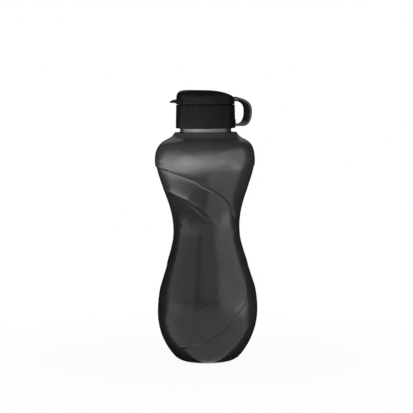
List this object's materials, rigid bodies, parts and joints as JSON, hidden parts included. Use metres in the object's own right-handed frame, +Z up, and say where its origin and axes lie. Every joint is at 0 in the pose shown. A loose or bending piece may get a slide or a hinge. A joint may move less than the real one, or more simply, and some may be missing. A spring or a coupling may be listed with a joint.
{
  "type": "squeeze bottle",
  "caption": "Waisted squeeze bottle with a swirled wall, a screw cap with a hinged flip lid over a drinking spout, and a carry loop beside the cap.",
  "frame": {"origin": "centre of the base, on the surface that the bottle stands on", "axes": "+Z up the bottle, +X towards the carry loop, -X towards the lid's thumb tab"},
  "size_m": [0.084, 0.084, 0.2276],
  "materials": {
    "bottle_wall": "smoky grey low-density polyethylene, blow moulded, satin",
    "cap_plastic": "black polypropylene, injection moulded, fine satin",
    "loop_plastic": "black polypropylene, injection moulded, satin",
    "soft_seal": "translucent white silicone, moulded",
    "pin_steel": "stainless steel wire"
  },
  "bodies": {
    "bottle": {"bottle_body": "bottle_wall"},
    "gasket": {"mouth_seal": "soft_seal"},
    "cap": {"screw_collar": "cap_plastic", "drinking_spout": "cap_plastic", "hinge_pin": "pin_steel", "carry_loop": "loop_plastic"},
    "lid": {"flip_lid": "cap_plastic", "lid_plug": "soft_seal"}
  },
  "joints": [
    {"name": "cap_rise", "type": "slide", "parent": "bottle", "child": "gasket", "axis": [0, 0, 1], "range_m": [0, 0.02]},
    {"name": "cap_turn", "type": "hinge", "parent": "gasket", "child": "cap", "pos_m": [0, 0, 0.2], "axis": [0, 0, 1], "range_deg": [0, 1440]},
    {"name": "lid_hinge", "type": "hinge", "parent": "cap", "child": "lid", "pos_m": [0.0246, 0, 0.2194], "axis": [0, 1, 0], "range_deg": [0, 110]}
  ],
  "couplings": [
    {"joint": "cap_rise", "follows": "cap_turn", "m_per_rad": 0.00079577}
  ]
}
